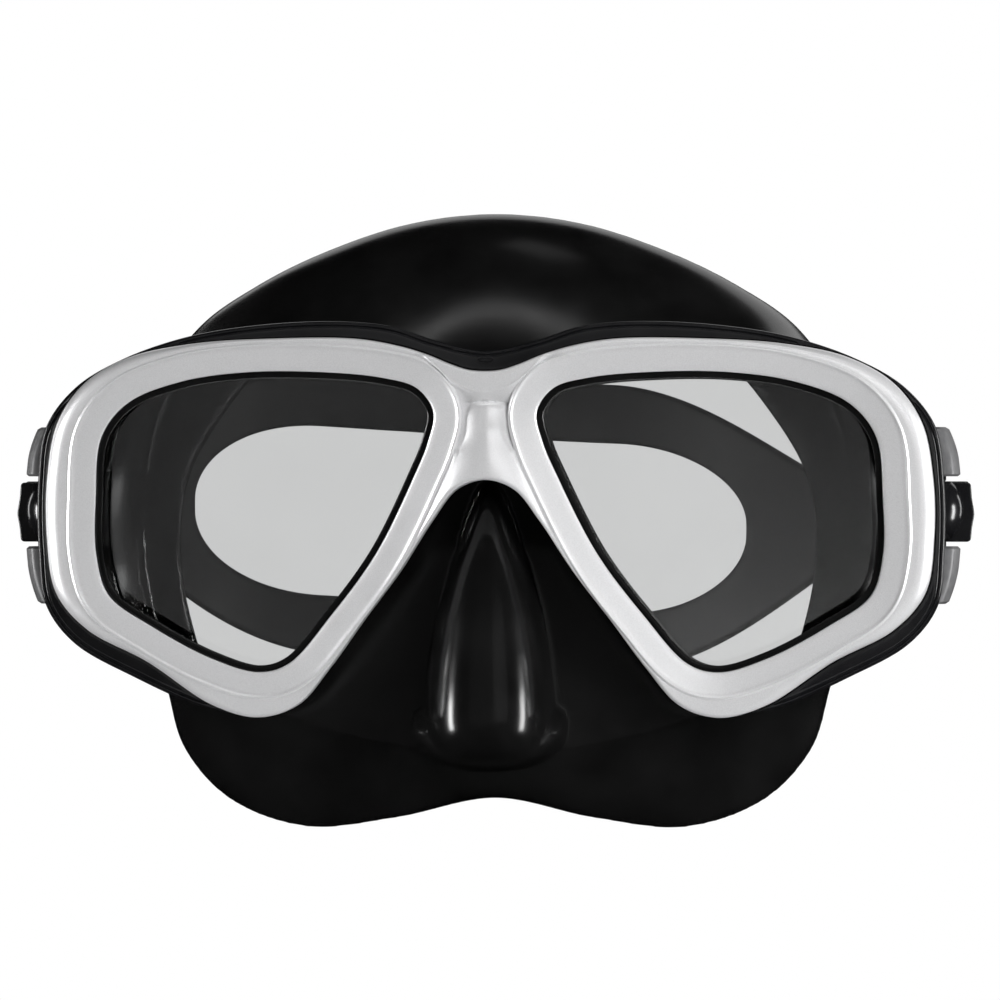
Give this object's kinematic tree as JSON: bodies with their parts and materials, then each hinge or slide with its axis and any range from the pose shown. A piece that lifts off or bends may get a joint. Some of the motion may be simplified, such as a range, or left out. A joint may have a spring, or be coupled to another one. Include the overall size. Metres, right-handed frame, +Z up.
{
  "type": "diving mask",
  "caption": "Low-volume diving mask: silver front bezel over a black frame, tempered lenses, silicone skirt with nose pocket, swivel buckles and split head strap.",
  "frame": {"origin": "on the mask's centre plane where the face meets the skirt, level with the strap buckles", "axes": "+X to the viewer's right when the lenses are seen from the front, +Y back towards the wearer's head, +Z up"},
  "size_m": [0.1728, 0.196, 0.1119],
  "materials": {
    "silver_paint": "satin silver metallic paint over moulded plastic",
    "black_plastic": "polished black polycarbonate",
    "black_silicone": "glossy black liquid silicone rubber",
    "lens_glass": "clear tempered glass, faint neutral tint",
    "steel": "plain stainless steel"
  },
  "bodies": {
    "root": {"front_bezel": "silver_paint", "main_frame": "black_plastic", "lens_right": "lens_glass", "lens_left": "lens_glass", "skirt": "black_silicone", "head_strap": "black_silicone", "buckle_pin_right": "steel", "buckle_pin_left": "steel"},
    "buckle_right": {"buckle_body_right": "black_plastic", "roller_pin_right": "steel", "lever_pin_right": "steel", "lever_spring_right": "steel"},
    "roller_right": {"strap_roller_right": "black_plastic"},
    "lever_right": {"release_lever_right": "black_plastic"},
    "keeper_right": {"strap_keeper_right": "black_silicone"},
    "buckle_left": {"buckle_body_left": "black_plastic", "roller_pin_left": "steel", "lever_pin_left": "steel", "lever_spring_left": "steel"},
    "roller_left": {"strap_roller_left": "black_plastic"},
    "lever_left": {"release_lever_left": "black_plastic"},
    "keeper_left": {"strap_keeper_left": "black_silicone"}
  },
  "joints": [
    {"name": "buckle_swivel_right", "type": "hinge", "parent": "root", "child": "buckle_right", "pos_m": [0.079, -0.007, 0], "axis": [0, 0, 1], "range_deg": [-25, 8], "deforming": ["head_strap"]},
    {"name": "roller_spin_right", "type": "hinge", "parent": "buckle_right", "child": "roller_right", "pos_m": [0.079, 0.011, 0], "axis": [0, 0, 1], "continuous": true},
    {"name": "lever_release_right", "type": "hinge", "parent": "buckle_right", "child": "lever_right", "pos_m": [0.083, 0.0012, 0], "axis": [0, 0, -1], "range_deg": [0, 12], "stiffness_Nm_per_rad": 0.02, "deforming": ["lever_spring_right"]},
    {"name": "keeper_slide_right", "type": "slide", "parent": "buckle_right", "child": "keeper_right", "axis": [0, 1, 0], "range_m": [0, 0.009]},
    {"name": "buckle_swivel_left", "type": "hinge", "parent": "root", "child": "buckle_left", "pos_m": [-0.079, -0.007, 0], "axis": [0, 0, -1], "range_deg": [-25, 8], "deforming": ["head_strap"]},
    {"name": "roller_spin_left", "type": "hinge", "parent": "buckle_left", "child": "roller_left", "pos_m": [-0.079, 0.011, 0], "axis": [0, 0, -1], "continuous": true},
    {"name": "lever_release_left", "type": "hinge", "parent": "buckle_left", "child": "lever_left", "pos_m": [-0.083, 0.0012, 0], "axis": [0, 0, 1], "range_deg": [0, 12], "stiffness_Nm_per_rad": 0.02, "deforming": ["lever_spring_left"]},
    {"name": "keeper_slide_left", "type": "slide", "parent": "buckle_left", "child": "keeper_left", "axis": [0, 1, 0], "range_m": [0, 0.009]}
  ]
}
